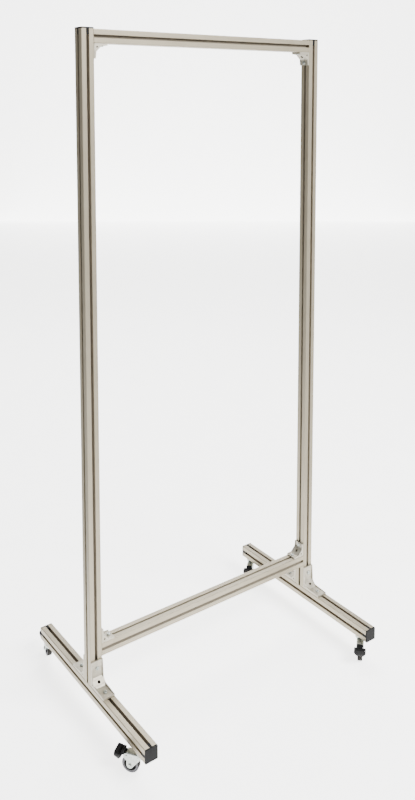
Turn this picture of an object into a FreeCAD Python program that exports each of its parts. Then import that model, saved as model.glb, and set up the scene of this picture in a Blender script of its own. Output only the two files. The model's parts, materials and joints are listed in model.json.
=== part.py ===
import FreeCAD, Part
import math
import os

V = FreeCAD.Vector
os.makedirs("parts", exist_ok=True)

# Square T-slot profile, one slot in each face
PROFILE = 45.0
HALF = PROFILE / 2
CORNER_R = 2.5
SLOT_MOUTH = 10.0
SLOT_LIP = 4.5
SLOT_INNER = 20.0
SLOT_DEPTH = 14.5
SLOT_FLOOR = 10.0
LIP_CHAMFER = 0.6
CORE_BORE_R = 3.7

# Frame: the origin is on the floor, midway between the posts and the foot ends
CASTER_HEIGHT = 75.0
POST_SPACING = 960.0
POST_LENGTH = 2175.0
FOOT_LENGTH = 725.0
LOWER_CROSSBAR_RISE = 90.0
POST_BASE_Z = CASTER_HEIGHT + PROFILE
POST_TOP_Z = POST_BASE_Z + POST_LENGTH
LOWER_CROSSBAR_Z = POST_BASE_Z + LOWER_CROSSBAR_RISE
SIDES = {"left": -1, "right": 1}

# Moulded end caps
CAP_THICKNESS = 4.5
CAP_LEG_LENGTH = 18.0
CAP_LEG_WIDTH = 9.4
CAP_LEG_INSET = 0.4
CAP_FLANGE_WIDTH = 16.0
CAP_FLANGE_THICKNESS = 3.0

# Cast corner gussets: a short one on the crossbars and a long one on the feet.
# leg: length of each leg; bolt: bolt centre from the corner;
# web: where the diagonal web ends; cheek: height of the side walls there
CROSSBAR_GUSSET = {"leg": 48.0, "bolt": 38.0, "web": 26.0, "cheek": 8.5}
FOOT_GUSSET = {"leg": 85.0, "bolt": 59.0, "web": 23.5, "cheek": 11.0}
GUSSET_WIDTH = 44.0
GUSSET_PLATE = 5.5
GUSSET_CHEEK = 3.5
GUSSET_WEB_THICKNESS = 4.0
GUSSET_WEB_HOLE_R = 5.5
GUSSET_CHEEK_HOLE_R = 3.0
GUSSET_CHEEK_HOLE_AT = 11.0
GUSSET_BOLT_HOLE_R = 4.4
NUB_WIDTH = 9.6
NUB_DEPTH = 2.0

# Button-head bolts and their T-nuts
BOLT_R = 4.0
BOLT_LENGTH = 17.0
HEAD_R = 7.0
HEAD_HEIGHT = 4.4
SOCKET_FLATS = 5.0
SOCKET_DEPTH = 2.8
NUT_WIDTH = 19.0
NUT_LENGTH = 22.0
NUT_THICKNESS = 5.0
NUT_BORE_R = 4.05

# Swivel casters: X points from the swivel axis towards the wheel, Z = 0 is the floor
FRONT_CASTER_INSET = 47.0
REAR_CASTER_INSET = 30.0
WHEEL_R = 28.0
TYRE_WIDTH = 18.0
TYRE_BORE_R = 20.0
TYRE_EDGE = 2.5
CORE_WIDTH = 17.0
HUB_R = 7.0
HUB_WIDTH = 20.0
HUB_BORE_R = 3.05
TRAIL = 39.0
AXLE_R = 3.0
FORK_SHEET = 2.5
FORK_INNER = 22.0
FORK_TOP_Z = 66.5
FORK_NOSE = 20.0
FORK_PLATE_END = 54.0
FORK_AXLE_PAD_R = 10.5
PIVOT_X = 50.0
PIVOT_Z = 58.8
PIVOT_R = 2.5
PIVOT_HOLE_R = 2.55
PEDAL_HUB_R = 4.3
PEDAL_TRAVEL = 20.0
PEDAL_TYRE_GAP = 0.8
STEM_R = 4.0
STEM_TOP_Z = 86.0
STEM_FLANGE_R = 21.0
STEM_FLANGE = 2.5
KINGPIN_R = 5.0
KINGPIN_HOLE_R = 5.06
KINGPIN_HEAD_R = 8.5
KINGPIN_HEAD_Z = 61.0
RACE_R = 19.0
RACE_GAP = 0.3

# Direction from each swivel axis to its wheel, in degrees from +X
CASTERS = {
    "front_left": (-1, -1, 126.0),
    "front_right": (1, -1, 222.0),
    "rear_left": (-1, 1, 78.0),
    "rear_right": (1, 1, 222.0),
}


def box(low, high):
    """Box between two corner points."""
    return Part.makeBox(high[0] - low[0], high[1] - low[1], high[2] - low[2], V(*low))


def cylinder(radius, start, direction, length):
    return Part.makeCylinder(radius, length, V(*start), V(*direction))


def prism(points, direction):
    """Closed outline of 3-D points pushed along a vector."""
    wire = Part.makePolygon([V(*p) for p in points] + [V(*points[0])])
    return Part.Face(wire).extrude(V(*direction))


def turned(shape, axis, angle):
    """Copy of a shape turned about an axis through the origin."""
    copy = shape.copy()
    copy.rotate(V(0, 0, 0), V(*axis), angle)
    return copy


def moved(shape, offset):
    copy = shape.copy()
    copy.translate(V(*offset))
    return copy


def slot_outline():
    """Section of one slot, opening towards +Y."""
    mouth = SLOT_MOUTH / 2
    inner = SLOT_INNER / 2
    floor = SLOT_FLOOR / 2
    lip_y = HALF - SLOT_LIP
    floor_y = HALF - SLOT_DEPTH
    shoulder_y = floor_y + (inner - floor)
    return [
        (-mouth - LIP_CHAMFER, HALF + 0.1, 0),
        (mouth + LIP_CHAMFER, HALF + 0.1, 0),
        (mouth, HALF - LIP_CHAMFER, 0),
        (mouth, lip_y, 0),
        (inner, lip_y, 0),
        (inner, shoulder_y, 0),
        (floor, floor_y, 0),
        (-floor, floor_y, 0),
        (-inner, shoulder_y, 0),
        (-inner, lip_y, 0),
        (-mouth, lip_y, 0),
        (-mouth, HALF - LIP_CHAMFER, 0),
    ]


def profile_bar(length):
    """Slotted bar standing on Z = 0."""
    bar = box((-HALF, -HALF, 0), (HALF, HALF, length))
    long_edges = [e for e in bar.Edges if abs(e.Vertexes[0].Z - e.Vertexes[1].Z) > 1]
    bar = bar.makeFillet(CORNER_R, long_edges)
    slot = prism(slot_outline(), (0, 0, length))
    slots = [turned(slot, (0, 0, 1), 90 * i) for i in range(4)]
    bore = cylinder(CORE_BORE_R, (0, 0, 0), (0, 0, 1), length)
    return bar.cut(Part.Compound(slots)).cut(bore)


def end_cap():
    """Cap with its plate above Z = 0 and four legs reaching down into the slots."""
    plate = box((-HALF, -HALF, 0), (HALF, HALF, CAP_THICKNESS))
    long_edges = [e for e in plate.Edges if abs(e.Vertexes[0].Z - e.Vertexes[1].Z) > 1]
    plate = plate.makeFillet(CORNER_R, long_edges)
    rim = [e for e in plate.Edges if min(v.Z for v in e.Vertexes) > CAP_THICKNESS - 0.01]
    plate = plate.makeFillet(0.5, rim)
    outer = HALF - CAP_LEG_INSET
    neck_y = HALF - SLOT_LIP - 0.3
    flange_y = neck_y - CAP_FLANGE_THICKNESS
    half_leg = CAP_LEG_WIDTH / 2
    half_flange = CAP_FLANGE_WIDTH / 2
    neck = box((-half_leg, flange_y, -CAP_LEG_LENGTH), (half_leg, outer, 0))
    flange = box((-half_flange, flange_y, -CAP_LEG_LENGTH), (half_flange, neck_y, 0))
    leg = neck.fuse(flange)
    legs = [turned(leg, (0, 0, 1), 90 * i) for i in range(4)]
    return plate.fuse(legs).removeSplitter()


def gusset(size):
    """Corner gusset in the XZ plane: one leg lies along +X, the other stands along +Z."""
    low = GUSSET_PLATE
    leg = size["leg"]
    web = size["web"]
    rib = size["cheek"]
    half = GUSSET_WIDTH / 2
    outline = [
        (0, -half, 0),
        (leg, -half, 0),
        (leg, -half, low),
        (web, -half, rib),
        (rib, -half, web),
        (low, -half, leg),
        (0, -half, leg),
    ]
    body = prism(outline, (0, GUSSET_WIDTH, 0))
    inside = half - GUSSET_CHEEK
    front = web + rib
    back = front - GUSSET_WEB_THICKNESS * math.sqrt(2)
    pocket = [(low, -inside, low), (back - low, -inside, low), (low, -inside, back - low)]
    body = body.cut(prism(pocket, (0, 2 * inside, 0)))
    reach = leg + 1
    trough = [(front - low, -inside, low), (reach, -inside, low), (reach, -inside, rib)]
    trough.append((front - rib + 0.01, -inside, rib + 0.01))
    for mirror in (False, True):
        corners = [(p[2], p[1], p[0]) if mirror else p for p in trough]
        body = body.cut(prism(corners, (0, 2 * inside, 0)))
    centre = front / 2
    body = body.cut(cylinder(GUSSET_WEB_HOLE_R, (centre - 6, 0, centre - 6), (1, 0, 1), 20))
    cross = (GUSSET_CHEEK_HOLE_AT, -half - 1, GUSSET_CHEEK_HOLE_AT)
    body = body.cut(cylinder(GUSSET_CHEEK_HOLE_R, cross, (0, 1, 0), GUSSET_WIDTH + 2))
    body = body.cut(cylinder(GUSSET_BOLT_HOLE_R, (size["bolt"], 0, -1), (0, 0, 1), 10))
    body = body.cut(cylinder(GUSSET_BOLT_HOLE_R, (-1, 0, size["bolt"]), (1, 0, 0), 10))
    return body.fuse(gusset_nubs(size)).removeSplitter()


def gusset_nubs(size):
    """Locating nubs that sit in the slot mouths, either side of each bolt."""
    nubs = []
    half = NUB_WIDTH / 2
    bolt = size["bolt"]
    bolt_room = GUSSET_BOLT_HOLE_R + 0.6
    spans = [(10.0, bolt - bolt_room - 8), (bolt + bolt_room, size["leg"] - 1)]
    for start, end in spans:
        nubs.append(box((start, -half, -NUB_DEPTH), (end, half, 0)))
        nubs.append(box((-NUB_DEPTH, -half, start), (0, half, end)))
    return nubs


def button_bolt():
    """Socket button-head bolt: underside of the head on Z = 0, shank pointing down."""
    head = cylinder(HEAD_R, (0, 0, 0), (0, 0, 1), HEAD_HEIGHT)
    top = [e for e in head.Edges if min(v.Z for v in e.Vertexes) > HEAD_HEIGHT - 0.01]
    head = head.makeFillet(3.2, top)
    shank = cylinder(BOLT_R, (0, 0, -BOLT_LENGTH), (0, 0, 1), BOLT_LENGTH)
    radius = SOCKET_FLATS / math.sqrt(3)
    base = HEAD_HEIGHT - SOCKET_DEPTH
    corners = []
    for i in range(6):
        angle = math.radians(60 * i)
        corners.append((radius * math.cos(angle), radius * math.sin(angle), base))
    return head.fuse(shank).cut(prism(corners, (0, 0, SOCKET_DEPTH + 1))).removeSplitter()


def t_nut(bore_r):
    """Slot nut with its top on Z = 0, long side along X."""
    half_l = NUT_LENGTH / 2
    half_w = NUT_WIDTH / 2
    toe = 3.0
    points = [
        (-half_l, -half_w, 0),
        (-half_l, half_w, 0),
        (-half_l, half_w, -NUT_THICKNESS + toe),
        (-half_l, half_w - toe, -NUT_THICKNESS),
        (-half_l, -half_w + toe, -NUT_THICKNESS),
        (-half_l, -half_w, -NUT_THICKNESS + toe),
    ]
    body = prism(points, (NUT_LENGTH, 0, 0))
    return body.cut(cylinder(bore_r, (0, 0, 1), (0, 0, -1), NUT_THICKNESS + 2))


def gusset_frames():
    """Size, corner point and the directions of the two legs of every gusset."""
    inner = POST_SPACING / 2 - HALF
    small = CROSSBAR_GUSSET
    large = FOOT_GUSSET
    frames = {}
    for side, sign in SIDES.items():
        x = sign * inner
        upper = (x, 0, POST_TOP_Z - PROFILE)
        lower = (x, 0, LOWER_CROSSBAR_Z + PROFILE)
        front = (sign * POST_SPACING / 2, -HALF, POST_BASE_Z)
        rear = (sign * POST_SPACING / 2, HALF, POST_BASE_Z)
        frames[side + "_top_gusset"] = (small, upper, (-sign, 0, 0), (0, 0, -1))
        frames[side + "_lower_gusset"] = (small, lower, (-sign, 0, 0), (0, 0, 1))
        frames[side + "_front_gusset"] = (large, front, (0, -1, 0), (0, 0, 1))
        frames[side + "_rear_gusset"] = (large, rear, (0, 1, 0), (0, 0, 1))
    return frames


def placed_in_corner(shape, corner, along, up):
    """Put a shape drawn with X along one leg and Z along the other into its corner."""
    x_dir = V(*along)
    z_dir = V(*up)
    y_dir = z_dir.cross(x_dir)
    matrix = FreeCAD.Matrix(
        x_dir.x, y_dir.x, z_dir.x, corner[0],
        x_dir.y, y_dir.y, z_dir.y, corner[1],
        x_dir.z, y_dir.z, z_dir.z, corner[2],
        0, 0, 0, 1,
    )
    copy = shape.copy()
    copy.Placement = FreeCAD.Placement(matrix) * copy.Placement
    return copy


def corner_fasteners(piece, distance, height):
    """Copies of a fastener on both legs of a corner, at a height above the leg's back."""
    on_floor = moved(piece, (distance, 0, height))
    upright = turned(turned(piece, (0, 0, 1), 180), (0, 1, 0), 90)
    on_wall = moved(upright, (height, 0, distance))
    return [on_floor, on_wall]


def tyre():
    """Solid tyre about the Y axis, centred on the wheel."""
    half = TYRE_WIDTH / 2
    outer = cylinder(WHEEL_R, (0, -half, 0), (0, 1, 0), TYRE_WIDTH)
    rims = [e for e in outer.Edges if e.Closed]
    outer = outer.makeFillet(TYRE_EDGE, rims)
    return outer.cut(cylinder(TYRE_BORE_R, (0, -half - 1, 0), (0, 1, 0), TYRE_WIDTH + 2))


def wheel_core():
    """Moulded core: rim band, thin web and hub."""
    half = CORE_WIDTH / 2
    core = cylinder(TYRE_BORE_R, (0, -half, 0), (0, 1, 0), CORE_WIDTH)
    for sign in (-1, 1):
        start = (0, sign * 3.0, 0)
        recess = cylinder(TYRE_BORE_R - 3.0, start, (0, sign, 0), half)
        core = core.cut(recess)
    core = core.fuse(cylinder(HUB_R, (0, -HUB_WIDTH / 2, 0), (0, 1, 0), HUB_WIDTH))
    bore = cylinder(HUB_BORE_R, (0, -HUB_WIDTH, 0), (0, 1, 0), 2 * HUB_WIDTH)
    return core.cut(bore).removeSplitter()


def fork_cheek():
    """Side plate of the fork, drawn at Y = 0 and thickened towards +Y."""
    top = FORK_TOP_Z
    outline = [
        (-FORK_NOSE, 0, top),
        (50.0, 0, top),
        (58.0, 0, 60.0),
        (61.5, 0, 53.0),
        (58.0, 0, 47.5),
        (TRAIL + FORK_AXLE_PAD_R, 0, 41.0),
        (TRAIL + FORK_AXLE_PAD_R, 0, WHEEL_R),
        (TRAIL - FORK_AXLE_PAD_R * 0.77, 0, WHEEL_R - FORK_AXLE_PAD_R * 0.64),
        (3.0, 0, 54.0),
        (-FORK_NOSE, 0, top - 5.5),
    ]
    cheek = prism(outline, (0, FORK_SHEET, 0))
    return cheek.fuse(cylinder(FORK_AXLE_PAD_R, (TRAIL, 0, WHEEL_R), (0, 1, 0), FORK_SHEET))


def fork():
    """Pressed fork: top plate, two cheeks, a swivel hole, axle holes and pivot holes."""
    inner = FORK_INNER / 2
    outer = inner + FORK_SHEET
    left = moved(fork_cheek(), (0, inner, 0))
    right = moved(fork_cheek(), (0, -outer, 0))
    under = FORK_TOP_Z - FORK_SHEET
    rear_plate = box((-FORK_NOSE, -outer, under), (FORK_PLATE_END - 6, outer, FORK_TOP_Z))
    front_plate = box((0, -inner, under), (FORK_PLATE_END, inner, FORK_TOP_Z))
    round_top = cylinder(RACE_R, (0, 0, FORK_TOP_Z - FORK_SHEET), (0, 0, 1), FORK_SHEET)
    body = rear_plate.fuse([front_plate, round_top, left, right])
    across = 2 * outer + 2
    swivel = cylinder(KINGPIN_HOLE_R, (0, 0, 50), (0, 0, 1), 30)
    axle = cylinder(AXLE_R + 0.05, (TRAIL, -outer - 1, WHEEL_R), (0, 1, 0), across)
    pivot = cylinder(PIVOT_HOLE_R, (PIVOT_X, -outer - 1, PIVOT_Z), (0, 1, 0), across)
    return body.cut(swivel).cut(axle).cut(pivot).removeSplitter()


def stem():
    """Threaded stem with its flange, kingpin and riveted head, one turned piece."""
    top = CASTER_HEIGHT
    flange_z = top - STEM_FLANGE
    solid = cylinder(STEM_R, (0, 0, flange_z), (0, 0, 1), STEM_TOP_Z - flange_z)
    flange = cylinder(STEM_FLANGE_R, (0, 0, flange_z), (0, 0, 1), STEM_FLANGE)
    kingpin = cylinder(KINGPIN_R, (0, 0, KINGPIN_HEAD_Z), (0, 0, 1), flange_z - KINGPIN_HEAD_Z)
    head_top = FORK_TOP_Z - FORK_SHEET - RACE_GAP
    head_height = head_top - KINGPIN_HEAD_Z
    head = cylinder(KINGPIN_HEAD_R, (0, 0, KINGPIN_HEAD_Z), (0, 0, 1), head_height)
    return solid.fuse([flange, kingpin, head]).removeSplitter()


def race():
    """Ball-race cup fixed under the stem flange, just clear of the fork."""
    bottom = FORK_TOP_Z + RACE_GAP
    height = CASTER_HEIGHT - STEM_FLANGE - bottom
    cup = cylinder(RACE_R, (0, 0, bottom), (0, 0, 1), height)
    edge = [e for e in cup.Edges if e.Closed and e.Vertexes[0].Z < bottom + 0.01]
    cup = cup.makeFillet(2.0, edge)
    return cup.cut(cylinder(KINGPIN_R, (0, 0, bottom - 1), (0, 0, 1), height + 2))


def hexagon(flats, height):
    radius = flats / math.sqrt(3)
    corners = []
    for i in range(6):
        angle = math.radians(60 * i + 30)
        corners.append((radius * math.cos(angle), radius * math.sin(angle), 0))
    return prism(corners, (0, 0, height))


def axle_bolt():
    """Axle about the Y axis with a domed head on the +Y side."""
    outer = FORK_INNER / 2 + FORK_SHEET
    shank = cylinder(AXLE_R, (0, -outer - 6.0, 0), (0, 1, 0), 2 * outer + 6.0)
    head = cylinder(5.5, (0, outer, 0), (0, 1, 0), 3.5)
    rim = [e for e in head.Edges if e.Closed and e.Vertexes[0].Y > outer + 3.4]
    return shank.fuse(head.makeFillet(1.6, rim)).removeSplitter()


def axle_nut():
    """Hexagon nut on the -Y end of the axle."""
    outer = FORK_INNER / 2 + FORK_SHEET
    nut = turned(hexagon(10.0, 5.0), (1, 0, 0), 90)
    nut = moved(nut, (0, -outer, 0))
    return nut.cut(cylinder(AXLE_R, (0, -outer - 6.0, 0), (0, 1, 0), 7.0))


def pedal():
    """Rocker pedal: hub and pin between the cheeks, an arm, and a two-eared tread."""
    inner = FORK_INNER / 2 - RACE_GAP
    outer = FORK_INNER / 2 + FORK_SHEET
    hub = cylinder(PEDAL_HUB_R, (PIVOT_X, -inner, PIVOT_Z), (0, 1, 0), 2 * inner)
    pin = cylinder(PIVOT_R, (PIVOT_X, -outer, PIVOT_Z), (0, 1, 0), 2 * outer)
    arm = [
        (PIVOT_X, -10.0, PIVOT_Z + 3.6),
        (PIVOT_X, -10.0, PIVOT_Z - 3.0),
        (PIVOT_X + 20.0, -10.0, PIVOT_Z - 4.0),
        (PIVOT_X + 20.0, -10.0, PIVOT_Z + 6.0),
        (PIVOT_X + 7.0, -10.0, PIVOT_Z + 3.6),
    ]
    near_ear = [
        (57.0, -10.5, 58.0),
        (58.0, -10.5, 71.5),
        (61.5, -10.5, 72.5),
        (67.0, -10.5, 66.0),
        (74.0, -10.5, 61.0),
        (74.0, -10.5, 50.0),
    ]
    side = [
        (68.0, -22.0, 64.5),
        (73.0, -22.0, 61.0),
        (79.0, -22.0, 68.5),
        (87.0, -22.0, 70.0),
        (89.0, -22.0, 67.0),
        (88.0, -22.0, 51.0),
        (79.0, -22.0, 38.5),
        (74.0, -22.0, 38.5),
        (68.0, -22.0, 46.0),
    ]
    front = [
        (60.0, -14.0, 71.0),
        (60.0, 14.0, 71.0),
        (60.0, 21.5, 63.0),
        (60.0, 21.5, 56.0),
        (60.0, 11.0, 38.0),
        (60.0, -11.0, 38.0),
        (60.0, -21.5, 56.0),
        (60.0, -21.5, 63.0),
    ]
    tread = prism(side, (0, 44.0, 0)).common(prism(front, (35.0, 0, 0)))
    body = prism(arm, (0, 20.0, 0)).fuse([prism(near_ear, (0, 21.0, 0)), tread])
    return hub.fuse([pin, clear_of_tyre(body)]).removeSplitter()


def clear_of_tyre(body):
    """Hollow the pedal's underside so it misses the tyre, released and pressed."""
    radius = WHEEL_R + PEDAL_TYRE_GAP
    released = cylinder(radius, (TRAIL, -30, WHEEL_R), (0, 1, 0), 60)
    pressed = released.copy()
    pressed.rotate(V(PIVOT_X, 0, PIVOT_Z), V(0, 1, 0), -PEDAL_TRAVEL)
    return body.cut(released).cut(pressed)


def caster_pieces():
    """Every piece of one caster in its own frame, by name."""
    at_axle = (TRAIL, 0, WHEEL_R)
    return {
        "stem": stem(),
        "race": race(),
        "fork": fork(),
        "axle_bolt": moved(axle_bolt(), at_axle),
        "axle_nut": moved(axle_nut(), at_axle),
        "wheel_core": moved(wheel_core(), at_axle),
        "tyre": moved(tyre(), at_axle),
        "brake_pedal": pedal(),
    }


def caster_centre(x_sign, y_sign):
    inset = REAR_CASTER_INSET if y_sign > 0 else FRONT_CASTER_INSET
    return (x_sign * POST_SPACING / 2, y_sign * (FOOT_LENGTH / 2 - inset), 0)


def bars():
    """The six slotted bars."""
    span = POST_SPACING - PROFILE
    post = profile_bar(POST_LENGTH)
    crossbar = turned(profile_bar(span), (0, 1, 0), 90)
    foot = moved(turned(profile_bar(FOOT_LENGTH), (1, 0, 0), 90), (0, FOOT_LENGTH / 2, 0))
    nodes = {}
    for side, sign in SIDES.items():
        x = sign * POST_SPACING / 2
        nodes[side + "_post"] = moved(post, (x, 0, POST_BASE_Z))
        nodes[side + "_foot_beam"] = moved(foot, (x, 0, CASTER_HEIGHT + HALF))
    nodes["top_crossbar"] = moved(crossbar, (-span / 2, 0, POST_TOP_Z - HALF))
    nodes["lower_crossbar"] = moved(crossbar, (-span / 2, 0, LOWER_CROSSBAR_Z + HALF))
    return nodes


def caps():
    """A cap on each post and on each end of each foot beam."""
    cap = end_cap()
    front = turned(cap, (1, 0, 0), 90)
    rear = turned(cap, (1, 0, 0), -90)
    z = CASTER_HEIGHT + HALF
    nodes = {}
    for side, sign in SIDES.items():
        x = sign * POST_SPACING / 2
        nodes[side + "_post_cap"] = moved(cap, (x, 0, POST_TOP_Z))
        nodes[side + "_front_cap"] = moved(front, (x, -FOOT_LENGTH / 2, z))
        nodes[side + "_rear_cap"] = moved(rear, (x, FOOT_LENGTH / 2, z))
    return nodes


def corners():
    """Gussets, and their bolts and T-nuts as two groups."""
    nodes = {}
    all_bolts = []
    all_nuts = []
    for name, (size, corner, along, up) in gusset_frames().items():
        bolts = corner_fasteners(button_bolt(), size["bolt"], GUSSET_PLATE)
        nuts = corner_fasteners(t_nut(NUT_BORE_R), size["bolt"], -SLOT_LIP)
        nodes[name] = placed_in_corner(gusset(size), corner, along, up)
        all_bolts += [placed_in_corner(b, corner, along, up) for b in bolts]
        all_nuts += [placed_in_corner(n, corner, along, up) for n in nuts]
    nodes["gusset_bolts"] = Part.Compound(all_bolts)
    nodes["gusset_t_nuts"] = Part.Compound(all_nuts)
    return nodes


def casters():
    """Four casters and the T-nuts that hold their stems."""
    pieces = caster_pieces()
    nut = turned(turned(t_nut(STEM_R + 0.05), (0, 0, 1), 90), (0, 1, 0), 180)
    nodes = {}
    nuts = []
    for place, (x_sign, y_sign, angle) in CASTERS.items():
        centre = caster_centre(x_sign, y_sign)
        for name, piece in pieces.items():
            nodes[place + "_" + name] = moved(turned(piece, (0, 0, 1), angle), centre)
        nuts.append(moved(nut, (centre[0], centre[1], CASTER_HEIGHT + SLOT_LIP)))
    nodes["stem_t_nuts"] = Part.Compound(nuts)
    return nodes


def main():
    nodes = {}
    for group in (bars(), caps(), corners(), casters()):
        nodes.update(group)
    for name, shape in nodes.items():
        shape.exportStep("parts/" + name + ".step")
        bounds = shape.BoundBox
        size = (round(bounds.XLength, 1), round(bounds.YLength, 1), round(bounds.ZLength, 1))
        print(name, len(shape.Solids), shape.isValid(), size, round(shape.Volume))
    print(len(nodes), "nodes")


main()
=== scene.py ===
# %% [markdown]
# # A rolling background frame, built piece by piece
# The real object is an upright frame of slotted aluminium bar on four braked casters. The bars,
# caps, bolts, nuts and caster stems come from the CAD model and keep their mesh. The gussets and
# the casters' forks, wheels and pedals are modelled again here, because they are rounder and finer
# in life than in the CAD model.

# %% Load the frame
import json
import math

import bmesh
import bpy
from mathutils import Matrix, Vector


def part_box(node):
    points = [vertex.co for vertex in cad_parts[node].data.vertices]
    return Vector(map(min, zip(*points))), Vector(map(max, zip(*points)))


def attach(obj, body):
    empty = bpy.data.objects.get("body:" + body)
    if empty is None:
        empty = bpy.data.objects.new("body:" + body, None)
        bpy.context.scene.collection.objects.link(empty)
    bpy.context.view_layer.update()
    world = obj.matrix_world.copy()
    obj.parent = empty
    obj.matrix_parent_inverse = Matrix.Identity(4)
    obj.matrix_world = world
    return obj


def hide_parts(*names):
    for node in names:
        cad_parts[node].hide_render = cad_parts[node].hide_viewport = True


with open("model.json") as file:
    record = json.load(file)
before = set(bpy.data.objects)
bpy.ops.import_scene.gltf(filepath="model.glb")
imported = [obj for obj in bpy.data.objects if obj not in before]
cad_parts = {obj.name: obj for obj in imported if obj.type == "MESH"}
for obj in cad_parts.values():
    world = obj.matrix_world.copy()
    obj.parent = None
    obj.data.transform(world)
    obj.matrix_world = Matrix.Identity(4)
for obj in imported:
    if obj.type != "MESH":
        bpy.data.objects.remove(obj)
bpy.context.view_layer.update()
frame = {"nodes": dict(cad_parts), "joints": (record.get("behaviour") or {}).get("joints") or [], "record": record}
nodes = frame["nodes"]

# %% [markdown]
# ## Colour and node helpers
# Colours are picked as they look on a screen, so one function turns them to the linear values
# that shaders work in. One function adds any node with its settings and links: every material
# below is a list of such calls, which keeps each recipe short enough to read at a glance.

# %% Helpers for materials
MM = 0.001


def linear(hex_colour, alpha=1.0):
    """Screen colour such as "#C8C4B8" as linear red, green, blue and alpha."""
    values = [int(hex_colour[i:i + 2], 16) / 255 for i in (1, 3, 5)]
    values = [v / 12.92 if v <= 0.04045 else ((v + 0.055) / 1.055) ** 2.4 for v in values]
    return (*values, alpha)


def add(tree, kind, settings=None, **inputs):
    """Add a node, set its properties, and fill or link the inputs given by name or number."""
    node = tree.nodes.new(kind)
    for key, value in (settings or {}).items():
        setattr(node, key, value)
    for key, value in inputs.items():
        socket = node.inputs[int(key[1:])] if key[0] == "i" and key[1:].isdigit() else None
        socket = socket or node.inputs[key.replace("_", " ")]
        if isinstance(value, bpy.types.NodeSocket):
            tree.links.new(value, socket)
        else:
            socket.default_value = value
    return node


def math_node(tree, operation, first, second):
    """Math node on two values or sockets."""
    node = add(tree, "ShaderNodeMath", {"operation": operation}, i0=first, i1=second)
    return node.outputs[0]


def new_material(name, metallic, roughness):
    """Empty material with one Principled shader, ready for its pattern."""
    material = bpy.data.materials.new(name)
    material.use_nodes = True
    tree = material.node_tree
    shader = tree.nodes["Principled BSDF"]
    shader.inputs["Metallic"].default_value = metallic
    shader.inputs["Roughness"].default_value = roughness
    return material, tree, shader


def ramp(tree, factor, stops):
    """Colour ramp with (position, screen colour) stops."""
    node = add(tree, "ShaderNodeValToRGB", Fac=factor)
    band = node.color_ramp
    while len(band.elements) < len(stops):
        band.elements.new(1.0)
    for element, (position, colour) in zip(band.elements, stops):
        element.position = position
        element.color = linear(colour)
    return node.outputs["Color"]


# %% [markdown]
# ## Anodised aluminium bar
# The bars are extruded through a steel die and then anodised. The die leaves hair-fine lines that
# run along the bar, and the anodic layer turns the metal into a warm, satin grey. The lines are a
# noise pattern stretched along the bar. Real die lines are about 0.1 mm apart; they are drawn
# 0.9 mm apart so that they can be seen. Inside the slots the metal is made rougher, and painted
# shade turns the colour to a dull brown with the distance below the bar's outer faces.

# %% Anodised bars
DIE_LINE = 0.9 * MM
DRAW_LENGTH = 400 * MM
MOTTLE = 90 * MM
HALF_BAR = 22.5 * MM


def slot_depth(tree, place, middles):
    """How far a point lies below the outer faces of the bars with these middle lines."""
    split = add(tree, "ShaderNodeSeparateXYZ", Vector=place)
    reach = None
    for number, (axis, middle) in enumerate(middles):
        value = split.outputs[axis]
        if axis == "X":
            value = math_node(tree, "ABSOLUTE", value, 0.0)
        value = math_node(tree, "SUBTRACT", value, middle)
        value = math_node(tree, "ABSOLUTE", value, 0.0)
        reach = value if number == 0 else math_node(tree, "MAXIMUM", reach, value)
    return math_node(tree, "SUBTRACT", HALF_BAR, reach)


def anodised_bar(name, along, middles):
    """Satin anodised metal with die lines along axis 0, 1 or 2 and painted shade in the slots."""
    material, tree, shader = new_material(name, 0.5, 0.42)
    place = add(tree, "ShaderNodeTexCoord").outputs["Object"]
    scale = [1 / DIE_LINE] * 3
    scale[along] = 1 / DRAW_LENGTH
    stretched = add(tree, "ShaderNodeMapping", Vector=place, Scale=scale).outputs["Vector"]
    lines = add(tree, "ShaderNodeTexNoise", Vector=stretched, Scale=1.0, Detail=3.0)
    mottle = add(tree, "ShaderNodeTexNoise", Vector=place, Scale=1 / MOTTLE, Detail=2.0)
    fine = ramp(tree, lines.outputs["Fac"], [(0.3, "#8D8471"), (0.7, "#A39A86")])
    broad = ramp(tree, mottle.outputs["Fac"], [(0.3, "#928975"), (0.7, "#9F9682")])
    metal = add(tree, "ShaderNodeMix", {"data_type": "RGBA"}, i0=0.5, i6=fine, i7=broad)
    # Painted shade: deeper in the slots the colour is mixed towards a dull brown.
    depth = slot_depth(tree, place, middles)
    shade = add(tree, "ShaderNodeMapRange", i0=depth, i1=0.8 * MM, i2=9.0 * MM).outputs[0]
    slot_shade_colour = linear("#8A8070")
    colour = add(tree, "ShaderNodeMix", {"data_type": "RGBA"}, i0=shade, i6=metal.outputs[2])
    colour.inputs[7].default_value = slot_shade_colour
    tree.links.new(colour.outputs[2], shader.inputs["Base Color"])
    rough = add(tree, "ShaderNodeMapRange", i0=lines.outputs["Fac"], i3=0.34, i4=0.50).outputs[0]
    dull = math_node(tree, "MAXIMUM", rough, math_node(tree, "MULTIPLY", shade, 0.7))
    tree.links.new(dull, shader.inputs["Roughness"])
    bright = add(tree, "ShaderNodeMapRange", i0=shade, i3=0.5, i4=0.0).outputs[0]
    tree.links.new(bright, shader.inputs["Metallic"])
    bump = add(tree, "ShaderNodeBump", Height=lines.outputs["Fac"], Strength=0.25)
    bump.inputs["Distance"].default_value = 0.05 * MM
    tree.links.new(bump.outputs["Normal"], shader.inputs["Normal"])
    return material


def middle_of(node, axis):
    """Middle of a CAD node along an axis, without its sign."""
    low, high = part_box(node)
    return abs(low["XYZ".index(axis)] + high["XYZ".index(axis)]) / 2


BARS = {"post": 2, "foot_beam": 1, "top_crossbar": 0, "lower_crossbar": 0}
bar_finish = {}
for bar, along in BARS.items():
    node = bar if bar in nodes else "left_" + bar
    middles = [(axis, middle_of(node, axis)) for axis in "XYZ" if "XYZ".index(axis) != along]
    bar_finish[bar] = anodised_bar("anodised_aluminium_" + bar, along, middles)
    print("made", bar_finish[bar].name, [(axis, round(at, 4)) for axis, at in middles])

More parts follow.
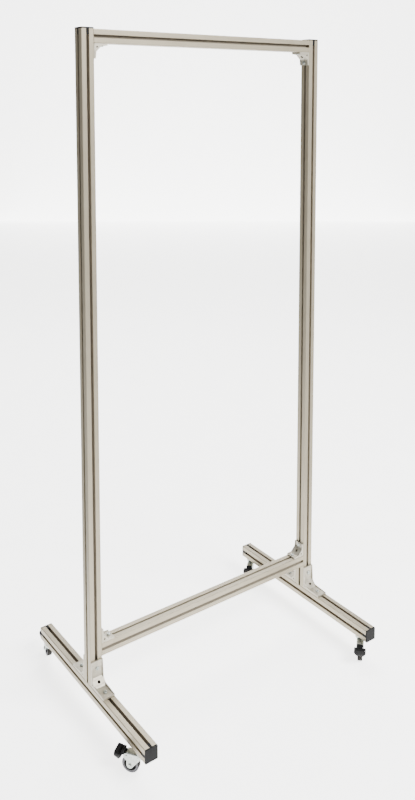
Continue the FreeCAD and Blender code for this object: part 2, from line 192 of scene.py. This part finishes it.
# %% [markdown]
# ## Cast aluminium
# The gussets are die-cast, tumbled to break their edges, and left bare. Tumbling gives a soft,
# even sheen with shallow pits, a little lighter than the bars. A fine noise makes the pits and a
# broad one the cloudy patches where the metal cooled unevenly.

# %% Cast gussets
CAST_PIT = 1.6 * MM
CAST_CLOUD = 14 * MM


def cast_aluminium():
    material, tree, shader = new_material("cast_aluminium_tumbled", 0.5, 0.45)
    place = add(tree, "ShaderNodeTexCoord").outputs["Object"]
    pits = add(tree, "ShaderNodeTexNoise", Vector=place, Scale=1 / CAST_PIT, Detail=4.0)
    cloud = add(tree, "ShaderNodeTexNoise", Vector=place, Scale=1 / CAST_CLOUD, Detail=2.0)
    colour = ramp(tree, cloud.outputs["Fac"], [(0.3, "#9C9687"), (0.7, "#B2AC9D")])
    tree.links.new(colour, shader.inputs["Base Color"])
    rough = add(tree, "ShaderNodeMapRange", Value=pits.outputs["Fac"])
    rough.inputs["To Min"].default_value = 0.34
    rough.inputs["To Max"].default_value = 0.56
    tree.links.new(rough.outputs["Result"], shader.inputs["Roughness"])
    bump = add(tree, "ShaderNodeBump", Height=pits.outputs["Fac"], Strength=0.4)
    bump.inputs["Distance"].default_value = 0.15 * MM
    tree.links.new(bump.outputs["Normal"], shader.inputs["Normal"])
    return material


castings = cast_aluminium()
print("made", castings.name)

# %% [markdown]
# ## Zinc-plated steel
# Forks, stems, bolts and nuts are pressed or turned steel with a bright zinc plate. Zinc has a
# faint blue-green cast and a patchy bloom where the clear passivation dried, so a cell pattern of
# a few millimetres shifts both colour and gloss.

# %% Zinc-plated steel
ZINC_PATCH = 5 * MM
ZINC_GRAIN = 0.8 * MM


def zinc_plated_steel():
    material, tree, shader = new_material("zinc_plated_steel_passivated", 0.8, 0.3)
    place = add(tree, "ShaderNodeTexCoord").outputs["Object"]
    patch = add(tree, "ShaderNodeTexVoronoi", {"feature": "SMOOTH_F1"}, Vector=place)
    patch.inputs["Scale"].default_value = 1 / ZINC_PATCH
    grain = add(tree, "ShaderNodeTexNoise", Vector=place, Scale=1 / ZINC_GRAIN, Detail=2.0)
    colour = ramp(tree, patch.outputs["Distance"], [(0.1, "#9BA19C"), (0.8, "#BFC3BC")])
    tree.links.new(colour, shader.inputs["Base Color"])
    rough = add(tree, "ShaderNodeMapRange", Value=patch.outputs["Distance"])
    rough.inputs["To Min"].default_value = 0.24
    rough.inputs["To Max"].default_value = 0.40
    tree.links.new(rough.outputs["Result"], shader.inputs["Roughness"])
    bump = add(tree, "ShaderNodeBump", Height=grain.outputs["Fac"], Strength=0.15)
    bump.inputs["Distance"].default_value = 0.05 * MM
    tree.links.new(bump.outputs["Normal"], shader.inputs["Normal"])
    return material


zinc = zinc_plated_steel()
print("made", zinc.name)

# %% [markdown]
# ## Moulded plastics and rubber
# Caps and pedals are black nylon moulded in a spark-eroded tool, which leaves a fine even grain.
# The wheel cores are smoother polypropylene. The tyres are grey thermoplastic rubber, matt, with
# dust on them. All three share one recipe: a grain for the bump and a broad cloud for the colour.

# %% Plastics and rubber


def moulded(name, dark, light, roughness, shine, grain_size, grain_depth):
    """Moulded polymer with an even surface grain and slightly cloudy colour."""
    material, tree, shader = new_material(name, 0.0, roughness)
    shader.inputs["Specular IOR Level"].default_value = shine
    place = add(tree, "ShaderNodeTexCoord").outputs["Object"]
    grain = add(tree, "ShaderNodeTexNoise", Vector=place, Scale=1 / grain_size, Detail=3.0)
    cloud = add(tree, "ShaderNodeTexNoise", Vector=place, Scale=1 / (25 * MM), Detail=3.0)
    colour = ramp(tree, cloud.outputs["Fac"], [(0.3, dark), (0.7, light)])
    tree.links.new(colour, shader.inputs["Base Color"])
    rough = add(tree, "ShaderNodeMapRange", Value=grain.outputs["Fac"])
    rough.inputs["To Min"].default_value = roughness - 0.08
    rough.inputs["To Max"].default_value = roughness + 0.08
    tree.links.new(rough.outputs["Result"], shader.inputs["Roughness"])
    bump = add(tree, "ShaderNodeBump", Height=grain.outputs["Fac"], Strength=0.35)
    bump.inputs["Distance"].default_value = grain_depth
    tree.links.new(bump.outputs["Normal"], shader.inputs["Normal"])
    return material


nylon = moulded("nylon_spark_grained", "#0C0C0C", "#141415", 0.6, 0.12, 0.7 * MM, 0.08 * MM)
polypropylene = moulded(
    "polypropylene_moulded", "#080808", "#0E0E0F", 0.55, 0.1, 1.2 * MM, 0.04 * MM)
rubber = moulded("rubber_grey_moulded", "#5C5C5F", "#6C6C6F", 0.65, 0.2, 1.0 * MM, 0.1 * MM)
# The tread's darker colour is painted shade, for the shadow under the wheel.
tread = moulded("rubber_tread_painted_shade", "#1E1D1C", "#2B2A28", 0.8, 0.1, 1.0 * MM, 0.15 * MM)
print("made", nylon.name, polypropylene.name, rubber.name, tread.name)

# %% [markdown]
# ## Finishes for the CAD nodes
# A CAD node keeps its mesh and gets its finish by its name. The first rule whose word is in the
# name wins, so "t_nut" comes before the more general words.

# %% Dress the CAD nodes
RULES = [
    ("gusset_bolts", zinc), ("t_nuts", zinc), ("_cap", nylon), ("_gusset", castings),
    ("_post", bar_finish["post"]), ("_foot_beam", bar_finish["foot_beam"]),
    ("top_crossbar", bar_finish["top_crossbar"]), ("lower_crossbar", bar_finish["lower_crossbar"]),
    ("_tyre", rubber),
    ("_wheel_core", polypropylene), ("_brake_pedal", nylon),
    ("_stem", zinc), ("_race", zinc), ("_fork", zinc), ("_axle", zinc),
]
for name, node in nodes.items():
    finish = next(material for word, material in RULES if word in name)
    node.data.materials.clear()
    node.data.materials.append(finish)
print("dressed", len(nodes), "nodes")

# %% [markdown]
# ## Ways of working
# A few helpers do the hand work. One draws an outline by pulling a point along and then pulls the
# closed outline into a plate. One adds a round bar. One joins or cuts two solids with a boolean,
# and one breaks the sharp edges, which every real cast, pressed or moulded piece has.

# %% Helpers for modelling


def deselect_all():
    for thing in bpy.context.selected_objects:
        thing.select_set(False)


def plate(name, points, push):
    """Closed outline of points in millimetres, pulled into a solid along a vector."""
    deselect_all()
    corners = [Vector(p) * MM for p in points]
    bpy.ops.mesh.primitive_plane_add(size=MM, location=corners[0])
    made = bpy.context.object
    made.name = name
    bpy.ops.object.transform_apply(location=True, rotation=True, scale=True)
    bpy.ops.object.mode_set(mode="EDIT")
    bpy.ops.mesh.select_mode(type="VERT")
    bpy.ops.mesh.select_all(action="SELECT")
    bpy.ops.mesh.merge(type="CENTER")
    for here, there in zip(corners, corners[1:]):
        step = {"value": there - here}
        bpy.ops.mesh.extrude_region_move(TRANSFORM_OT_translate=step)
    bpy.ops.mesh.select_all(action="SELECT")
    bpy.ops.mesh.edge_face_add()
    bpy.ops.mesh.extrude_region_move(TRANSFORM_OT_translate={"value": Vector(push) * MM})
    bpy.ops.mesh.select_all(action="SELECT")
    bpy.ops.mesh.normals_make_consistent(inside=False)
    bpy.ops.object.mode_set(mode="OBJECT")
    return made


def side_plate(name, outline, half_width):
    """Plate from a side view: (x, z) points in millimetres, centred on Y."""
    return plate(name, [(x, -half_width, z) for x, z in outline], (0, 2 * half_width, 0))


def round_bar(name, radius, start, end, sides=32):
    """Cylinder between two points in millimetres."""
    deselect_all()
    start, end = Vector(start) * MM, Vector(end) * MM
    turn = (end - start).to_track_quat("Z", "Y").to_euler()
    bpy.ops.mesh.primitive_cylinder_add(
        vertices=sides, radius=radius * MM, depth=(end - start).length,
        location=(start + end) / 2, rotation=turn)
    made = bpy.context.object
    made.name = name
    bpy.ops.object.transform_apply(location=True, rotation=True, scale=True)
    return made


def combine(base, tools, operation):
    """Join, cut or keep the overlap of solids, one after another, and remove the tools."""
    for tool in tools:
        deselect_all()
        bpy.context.view_layer.objects.active = base
        base.select_set(True)
        boolean = base.modifiers.new("combine", "BOOLEAN")
        boolean.operation = operation
        boolean.solver = "EXACT"
        boolean.object = tool
        bpy.ops.object.modifier_apply(modifier=boolean.name)
        bpy.data.objects.remove(tool)
    return base


def smooth(piece):
    """Shade rounded edges smoothly and keep the large flat faces flat."""
    deselect_all()
    bpy.context.view_layer.objects.active = piece
    piece.select_set(True)
    bpy.ops.object.shade_smooth_by_angle(angle=math.radians(40))
    weight = piece.modifiers.new("weight", "WEIGHTED_NORMAL")
    weight.keep_sharp = True
    weight.weight = 100
    bpy.ops.object.modifier_apply(modifier=weight.name)
    return piece


def break_edges(piece, width, segments=2, angle=35):
    """Merge doubles, then round every edge sharper than an angle."""
    deselect_all()
    bpy.context.view_layer.objects.active = piece
    piece.select_set(True)
    bpy.ops.object.mode_set(mode="EDIT")
    bpy.ops.mesh.select_mode(type="VERT")
    bpy.ops.mesh.select_all(action="SELECT")
    bpy.ops.mesh.remove_doubles(threshold=0.01 * MM)
    bpy.ops.mesh.dissolve_limited(angle_limit=math.radians(0.5))
    bpy.ops.object.mode_set(mode="OBJECT")
    bevel = piece.modifiers.new("edges", "BEVEL")
    bevel.width = width * MM
    bevel.segments = segments
    bevel.limit_method = "ANGLE"
    bevel.angle_limit = math.radians(angle)
    bevel.use_clamp_overlap = True
    bpy.ops.object.modifier_apply(modifier=bevel.name)
    return smooth(piece)


def dress(piece, *finishes):
    """Give a piece its materials, in the order of its face groups."""
    for finish in finishes:
        piece.data.materials.append(finish)


def report(piece):
    """Print a piece's size in millimetres and whether its surface is closed."""
    mesh = bmesh.new()
    mesh.from_mesh(piece.data)
    open_edges = sum(1 for edge in mesh.edges if len(edge.link_faces) != 2)
    volume = mesh.calc_volume() / MM ** 3
    size = tuple(round(d / MM, 1) for d in piece.dimensions)
    print(piece.name, size, "faces", len(mesh.faces), "open", open_edges, "mm3", round(volume))
    mesh.free()


# %% [markdown]
# ## Corner gussets
# A gusset is a die-cast corner: two plates that lie on the bars, a diagonal web between them, and
# a cheek on each side that closes the corner. It could be built from cubes, but its side view is
# one outline, so that outline is drawn, pulled across and rounded, as tumbling rounds a casting.
# The pocket behind the web and the two troughs for the bolts are then cut out. The crossbars have
# short gussets and the feet long ones.

# %% Draw the two gussets
HALF_WIDTH, PLATE, CHEEK, WEB_THICKNESS = 22.0, 5.5, 3.5, 4.0
CHEEK_HOLE_AT, TIP_RISE = 11.0, 0.9


def gusset_body(name, leg, web, cheek):
    """Solid corner with its pocket and troughs, legs along +X and +Z."""
    low, front = PLATE, web + cheek
    back = front - WEB_THICKNESS * math.sqrt(2)
    tip = low + TIP_RISE
    outline = [(0, 0), (leg, 0), (leg, tip), (web, cheek), (cheek, web), (tip, leg), (0, leg)]
    pocket = [(low, low), (back - low, low), (low, back - low)]
    trough = [(front - low, low), (leg + 1, low), (leg + 1, cheek), (front - cheek, cheek + 0.01)]
    mirrored = [(z, x) for x, z in trough]
    body = break_edges(side_plate(name, outline, HALF_WIDTH), 0.8, 3, 15)
    inside = HALF_WIDTH - CHEEK
    hollows = [side_plate("hollow", shape, inside) for shape in (pocket, trough, mirrored)]
    return combine(body, hollows, "DIFFERENCE")


SHORT = {"leg": 48.0, "web": 26.0, "cheek": 8.5}
LONG = {"leg": 85.0, "web": 23.5, "cheek": 11.0}
short_gusset = gusset_body("short_gusset", **SHORT)
long_gusset = gusset_body("long_gusset", **LONG)
report(short_gusset)
report(long_gusset)

# %% [markdown]
# Each gusset is drilled: a large hole through the web, a small one through both cheeks and a
# clearance hole in each plate. Drilling comes after tumbling, so the holes stay crisp. Two nubs
# under each plate drop into the bar's slot and stop the gusset from turning.

# %% Drill and finish the gussets
NUB_WIDTH, NUB_DEPTH, BOLT_ROOM = 9.6, 2.0, 5.0


def finish_gusset(body, leg, bolt, web, cheek):
    middle = (web + cheek) / 2
    at = CHEEK_HOLE_AT
    holes = [
        round_bar("web_hole", 5.5, (middle - 6, 0, middle - 6), (middle + 8, 0, middle + 8), 40),
        round_bar("cheek_hole", 3.0, (at, -30, at), (at, 30, at), 24),
        round_bar("bolt_hole", 4.4, (bolt, 0, -1), (bolt, 0, 9), 24),
        round_bar("bolt_hole", 4.4, (-1, 0, bolt), (9, 0, bolt), 24),
    ]
    combine(body, holes, "DIFFERENCE")
    for start, end in ((10.0, bolt - BOLT_ROOM - 8), (bolt + BOLT_ROOM, leg - 1)):
        square = [(start, -NUB_DEPTH), (end, -NUB_DEPTH), (end, 1), (start, 1)]
        for shape in (square, [(z, x) for x, z in square]):
            combine(body, [side_plate("nub", shape, NUB_WIDTH / 2)], "UNION")
    smooth(body)
    dress(body, castings)
    report(body)


finish_gusset(short_gusset, bolt=38.0, **SHORT)
finish_gusset(long_gusset, bolt=59.0, **LONG)

# %% [markdown]
# ## Caster wheel
# The wheel is two mouldings: a black core with a hub and ribs, and a grey tyre shrunk over it.
# Both start as a cylinder lying across the caster. The core's two faces are inset again and again,
# sinking to the web and rising to the hub, which is how a turned or moulded disc steps in and out.

# %% Core
TRAIL, WHEEL_R, CORE_R = 39.0, 28.0, 20.0
axle = Vector((TRAIL, 0, WHEEL_R))


def across(half):
    """Two points on the axle line, half a width either side of the wheel."""
    return axle - Vector((0, half, 0)), axle + Vector((0, half, 0))


def step_faces(piece, steps):
    """Select the two flat ends and inset them by (thickness, depth) pairs in millimetres."""
    bpy.ops.object.mode_set(mode="EDIT")
    bpy.ops.mesh.select_mode(type="FACE")
    bpy.ops.mesh.select_all(action="DESELECT")
    mesh = bmesh.from_edit_mesh(piece.data)
    for face in mesh.faces:
        face.select = abs(face.normal.y) > 0.99 and len(face.verts) > 8
    bmesh.update_edit_mesh(piece.data)
    for thickness, depth in steps:
        bpy.ops.mesh.inset(thickness=thickness * MM, depth=depth * MM)
    bpy.ops.object.mode_set(mode="OBJECT")


core = round_bar("core", CORE_R, *across(8.5), 64)
step_faces(core, [(2.6, 0), (0.6, -4.9), (9.2, 0), (0.6, 6.4), (0.8, 0)])
ribs = []
for number in range(6):
    turn = math.radians(60 * number)
    outward = Vector((math.cos(turn), 0, math.sin(turn)))
    sideways = Vector((-math.sin(turn), 0, math.cos(turn)))
    corners = [axle + outward * 6 - sideways, axle + outward * 17.6 - sideways,
               axle + outward * 17.6 + sideways, axle + outward * 6 + sideways]
    ribs.append(plate("rib", [corner - Vector((0, 7.4, 0)) for corner in corners], (0, 14.8, 0)))
combine(core, ribs, "UNION")
combine(core, [round_bar("bore", 3.05, *across(12), 32)], "DIFFERENCE")
break_edges(core, 0.35, 2)
dress(core, polypropylene)
report(core)

# %% [markdown]
# The tyre's tread edges are rounded first, while its sides are still whole discs. Then each side
# is inset to leave a shallow ring, and the bore is cut last so that it fits the core. The tread is
# given its own, darker colour as painted shade, for the shadow under the wheel; the sides stay grey.

# %% Tyre
tyre = round_bar("tyre", WHEEL_R, *across(9.0), 96)
break_edges(tyre, 2.6, 5)
step_faces(tyre, [(1.2, 0), (0.4, -0.6), (1.8, 0), (0.4, 0.6)])
combine(tyre, [round_bar("bore", CORE_R, *across(12), 64)], "DIFFERENCE")
smooth(tyre)
dress(tyre, rubber, tread)
# The outer faces get the darker tread colour, which is painted shade.
bpy.ops.object.mode_set(mode="EDIT")
bpy.ops.mesh.select_mode(type="FACE")
bpy.ops.mesh.select_all(action="DESELECT")
mesh = bmesh.from_edit_mesh(tyre.data)
for face in mesh.faces:
    from_axle = face.calc_center_median() / MM - axle
    face.select = Vector((from_axle.x, from_axle.z)).length > WHEEL_R - 1.6
bmesh.update_edit_mesh(tyre.data)
tyre.active_material_index = 1
bpy.ops.object.material_slot_assign()
bpy.ops.object.mode_set(mode="OBJECT")
print(sum(face.material_index == 1 for face in tyre.data.polygons), "tread faces")
report(tyre)

# %% [markdown]
# ## Fork
# The fork is pressed from one sheet: a top plate with two cheeks folded down. A folded sheet has
# round corners, so the fold is drawn as a rounded arch seen from the front and pulled backwards.
# It is then trimmed by the side view, which reaches over the wheel and tapers to a round pad.

# %% Fold the sheet
SHEET, CHEEK_INNER, FORK_TOP = 2.5, 11.0, 66.5
FORK_NOSE, FORK_END, PLATE_END, PAD_R = 20.0, 61.5, 54.0, 10.5
PIVOT = Vector((50.0, 0, 58.8))
cheek_outer = CHEEK_INNER + SHEET


def fold(half_width, top, radius):
    """Right half of an arch: up the side and round the corner to the top."""
    arc = [math.radians(18 * i) for i in range(6)]
    inset, drop = [1 - math.cos(a) for a in arc], [1 - math.sin(a) for a in arc]
    return [(half_width - radius * i, top - radius * d) for i, d in zip(inset, drop)]


outer_fold = [(cheek_outer, 12.0)] + fold(cheek_outer, FORK_TOP, 4.0)
inner_fold = [(CHEEK_INNER, 12.0)] + fold(CHEEK_INNER, FORK_TOP - SHEET, 1.5)
arch = outer_fold + [(-y, z) for y, z in reversed(outer_fold)]
arch += [(-y, z) for y, z in inner_fold] + list(reversed(inner_fold))
fork = plate("fork", [(-FORK_NOSE, y, z) for y, z in arch], (FORK_NOSE + FORK_END, 0, 0))
report(fork)

# %% Trim and drill the fork
side_view = [
    (-FORK_NOSE, FORK_TOP + 1), (50.0, FORK_TOP + 1), (50.0, FORK_TOP), (58.0, 60.0),
    (FORK_END, 53.0), (58.0, 47.5), (TRAIL + PAD_R, 41.0), (TRAIL + PAD_R, WHEEL_R),
    (TRAIL - PAD_R * 0.77, WHEEL_R - PAD_R * 0.64), (3.0, 54.0), (-FORK_NOSE, FORK_TOP - 5.5)]
silhouette = side_plate("silhouette", side_view, 20)
combine(silhouette, [round_bar("pad", PAD_R, *across(20), 64)], "UNION")
combine(fork, [silhouette], "INTERSECT")
gap = [(PLATE_END, 62.0), (FORK_END + 1, 52.0), (FORK_END + 1, 70.0), (PLATE_END, 70.0)]
combine(fork, [side_plate("gap", gap, CHEEK_INNER)], "DIFFERENCE")
combine(fork, [round_bar("boss", 19.0, (0, 0, FORK_TOP - SHEET), (0, 0, FORK_TOP), 64)], "UNION")
holes = [round_bar("swivel_hole", 5.06, (0, 0, 50), (0, 0, 80)),
         round_bar("axle_hole", 3.05, *across(16)),
         round_bar("pivot_hole", 2.55, PIVOT - Vector((0, 16, 0)), PIVOT + Vector((0, 16, 0)))]
combine(fork, holes, "DIFFERENCE")
break_edges(fork, 0.4, 2)
dress(fork, zinc)
report(fork)

# %% [markdown]
# ## Brake pedal
# The pedal is one nylon moulding: a hub between the cheeks, an arm, a narrow ear near the fork
# that lifts the brake, and a broad outer tread with a second ear that sets it. The tread has one
# outline from the side and another from the front, so two plates are crossed and their overlap
# is kept. Its underside is hollowed so that it clears the tyre, released and pressed.

# %% Mould the pedal
PRESSED, TYRE_GAP = math.radians(20), 0.8
hub_half = CHEEK_INNER - 0.3
hub_side = Vector((0, hub_half, 0))
ear_view = [(57, 58), (58, 71.5), (61.5, 72.5), (67, 66), (74, 61), (74, 50)]
arm_view = [(50, 62.4), (50, 55.8), (70, 54.8), (70, 64.8), (57, 62.4)]
tread_view = [(68, 64.5), (73, 61), (79, 68.5), (87, 70), (89, 67), (88, 51), (79, 38.5),
              (74, 38.5), (68, 46)]
half_front = [(14, 71), (21.5, 63), (21.5, 56), (11, 38)]
front_view = [(-14, 71), *half_front] + [(-y, z) for y, z in reversed(half_front[1:])]

pedal = side_plate("pedal", tread_view, 22)
crossing = plate("crossing", [(60, y, z) for y, z in front_view], (35, 0, 0))
combine(pedal, [crossing], "INTERSECT")
combine(pedal, [side_plate("ear", ear_view, 10.5), side_plate("arm", arm_view, 10)], "UNION")
to_wheel = axle - PIVOT
pressed_x = to_wheel.x * math.cos(PRESSED) - to_wheel.z * math.sin(PRESSED)
pressed_z = to_wheel.x * math.sin(PRESSED) + to_wheel.z * math.cos(PRESSED)
for middle in (axle, PIVOT + Vector((pressed_x, 0, pressed_z))):
    side = Vector((0, 30, 0))
    room = round_bar("room", WHEEL_R + TYRE_GAP, middle - side, middle + side, 96)
    combine(pedal, [room], "DIFFERENCE")
report(pedal)

# %% Edges, grip bars, hub and pin
break_edges(pedal, 0.9, 3)
grips = []
for number in range(4):
    foot = Vector((80.6 + 2.1 * number, 0, 68.9 + 0.4 * number))
    grips.append(round_bar("grip", 0.5, foot - Vector((0, 13, 0)), foot + Vector((0, 13, 0)), 12))
combine(pedal, grips, "UNION")
hub = round_bar("hub", 4.3, PIVOT - hub_side, PIVOT + hub_side, 40)
pin_side = Vector((0, cheek_outer, 0))
pin = round_bar("pin", 2.5, PIVOT - pin_side, PIVOT + pin_side, 24)
combine(pedal, [hub, pin], "UNION")
smooth(pedal)
dress(pedal, nylon)
report(pedal)

# %% [markdown]
# ## Putting the pieces in place
# Each piece was drawn once, at the origin. It is now copied to every place that the CAD model
# gives it, with a mesh of its own, and takes over from the CAD node there. A caster's place and
# direction come from its swivel and its wheel axle; a gusset's corner comes from its CAD box.

# %% Place the casters


def put(source, node, word, matrix):
    """Own copy of a piece, moved into place, standing for one CAD node."""
    copy = source.copy()
    copy.data = source.data.copy()
    copy.name = node + "_" + word
    bpy.context.collection.objects.link(copy)
    copy.data.transform(matrix)
    body = next(name for name, members in groups.items() if node in members)
    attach(copy, body)
    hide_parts(node)
    return copy


groups = frame["record"]["behaviour"]["bodies"]
pivots = {joint["name"]: Vector(joint["pos_m"]) for joint in frame["joints"]}
for place_name in ("front_left", "front_right", "rear_left", "rear_right"):
    swivel = pivots[place_name + "_swivel"]
    heading = pivots[place_name + "_roll"] - swivel
    angle = math.atan2(heading.y, heading.x)
    stand = Matrix.Translation((swivel.x, swivel.y, 0)) @ Matrix.Rotation(angle, 4, "Z")
    put(core, place_name + "_wheel_core", "moulded", stand)
    put(tyre, place_name + "_tyre", "moulded", stand)
    put(fork, place_name + "_fork", "pressed", stand)
    put(pedal, place_name + "_brake_pedal", "moulded", stand)
    print(place_name, "points to", round(math.degrees(angle)), "degrees")

# %% Place the gussets


def corner_of(node, along, up):
    """Corner of a gusset: its box, less the nubs that reach into the slots."""
    low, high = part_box(node)
    corner = (low + high) / 2
    for leg in (along, up):
        axis = max(range(3), key=lambda i: abs(leg[i]))
        end = low[axis] if leg[axis] > 0 else high[axis]
        corner[axis] = end + leg[axis] * NUB_DEPTH * MM
    return corner


for side, sign in (("left", 1), ("right", -1)):
    across_frame = Vector((sign, 0, 0))
    corners = [
        ("_top_gusset", short_gusset, across_frame, Vector((0, 0, -1))),
        ("_lower_gusset", short_gusset, across_frame, Vector((0, 0, 1))),
        ("_front_gusset", long_gusset, Vector((0, -1, 0)), Vector((0, 0, 1))),
        ("_rear_gusset", long_gusset, Vector((0, 1, 0)), Vector((0, 0, 1))),
    ]
    for word, source, along, up in corners:
        turn = Matrix((along, up.cross(along), up)).transposed().to_4x4()
        seat = Matrix.Translation(corner_of(side + word, along, up)) @ turn
        put(source, side + word, "cast", seat)
for source in (short_gusset, long_gusset, core, tyre, fork, pedal):
    bpy.data.objects.remove(source)

# %% [markdown]
# ## Floor, light and camera
# A white paper sweep, as in a studio: a strip that widens away from the camera and then stands up
# as a wall, lit so brightly that it gives light back. Around it lies a plain pale floor. One broad
# panel above and in front lights the bars, a weaker one from the left fills them, one behind and
# above gives the upward faces their sheen, and a dim even surround softens the shadows. The
# camera stands at the left, above head height, and its lens is shifted down so that the posts
# stay upright.

# %% Stage
FLOOR_GLOW, WALL_GLOW, SURROUND = 3.4, 4.2, 0.45
KEY_POWER, FILL_POWER, BACK_POWER = 640, 8, 260


def studio_paint(name, glow):
    """Matt white paint that gives back the light of lamps aimed at it."""
    paint, tree, shader = new_material(name, 0.0, 0.9)
    place = add(tree, "ShaderNodeTexCoord").outputs["Object"]
    speckle = add(tree, "ShaderNodeTexNoise", Vector=place, Scale=6.0, Detail=2.0)
    tone = ramp(tree, speckle.outputs["Fac"], [(0.3, "#F7F7F6"), (0.7, "#FAFAF9")])
    tree.links.new(tone, shader.inputs["Base Color"])
    tree.links.new(tone, shader.inputs["Emission Color"])
    shader.inputs["Emission Strength"].default_value = glow
    return paint


YAW = 0.632
EYE = Vector((-1.7313, -2.3621, 2.0793))
AHEAD = Vector((math.sin(YAW), math.cos(YAW), 0))
RIGHT = Vector((math.cos(YAW), -math.sin(YAW), 0))


def paper(name, corners, finish):
    """Flat sheet between four corners in metres."""
    deselect_all()
    bpy.ops.mesh.primitive_plane_add(size=1.0, location=(0, 0, 0))
    sheet = bpy.context.object
    sheet.name = name
    for vertex, corner in zip(sheet.data.vertices, corners):
        vertex.co = corner
    dress(sheet, finish)
    return sheet


def strip(distance, spread, height):
    """Left and right point of the sweep at a distance from the camera's foot."""
    middle = Vector((EYE.x, EYE.y, height)) + AHEAD * distance
    return middle - RIGHT * spread, middle + RIGHT * spread


NEAR, NEAR_SPREAD = 1.6, 0.75
FAR, FAR_SPREAD, WALL_HEIGHT = 14.0, 3.8, 4.6
near_edge = strip(NEAR, NEAR_SPREAD, 0.0)
far_edge = strip(FAR, FAR_SPREAD, 0.0)
top_edge = strip(FAR, FAR_SPREAD, WALL_HEIGHT)
ground = paper("sweep_floor", (*near_edge, *far_edge), studio_paint("sweep_paper_matt", FLOOR_GLOW))
back = paper("sweep_wall", (*far_edge, *top_edge), studio_paint("sweep_wall_matt", WALL_GLOW))
wide = [Vector((x, y, -0.002)) for y in (-20, 20) for x in (-20, 20)]
surround_floor = paper("studio_floor", wide, studio_paint("floor_paint_matt", 0.0))

world = bpy.data.worlds.new("studio_surround")
bpy.context.scene.world = world
world.use_nodes = True
surround = world.node_tree.nodes["Background"]
surround.inputs["Color"].default_value = (1.0, 1.0, 1.0, 1.0)
surround.inputs["Strength"].default_value = SURROUND


def panel(name, place, aim, size, power):
    """Square soft light at a place, turned to face a point."""
    bpy.ops.object.light_add(type="AREA", location=place)
    light = bpy.context.object
    light.name = name
    light.data.shape = "SQUARE"
    light.data.size = size
    light.data.energy = power
    direction = Vector(aim) - Vector(place)
    light.rotation_euler = direction.to_track_quat("-Z", "Y").to_euler()
    return light


panel("key_panel", (1.5, -4.0, 4.5), (0, 0, 1.0), 2.5, KEY_POWER)
panel("fill_panel", (-4.0, -1.0, 3.0), (0, 0, 1.0), 2.5, FILL_POWER)
panel("back_panel", (2.0, 2.9, 4.6), (0, 0, 0.4), 2.5, BACK_POWER)

SENSOR, LENS, SHIFT = 36.0, 37.58, -0.275
PITCH = 0.098
bpy.ops.object.camera_add(location=EYE)
camera = bpy.context.object
camera.rotation_euler = (math.pi / 2 - PITCH, 0, -YAW)
camera.data.sensor_width = SENSOR
camera.data.lens = LENS
camera.data.shift_y = SHIFT
bpy.context.scene.camera = camera
print("camera at", tuple(round(c, 3) for c in camera.location), "lens", LENS)
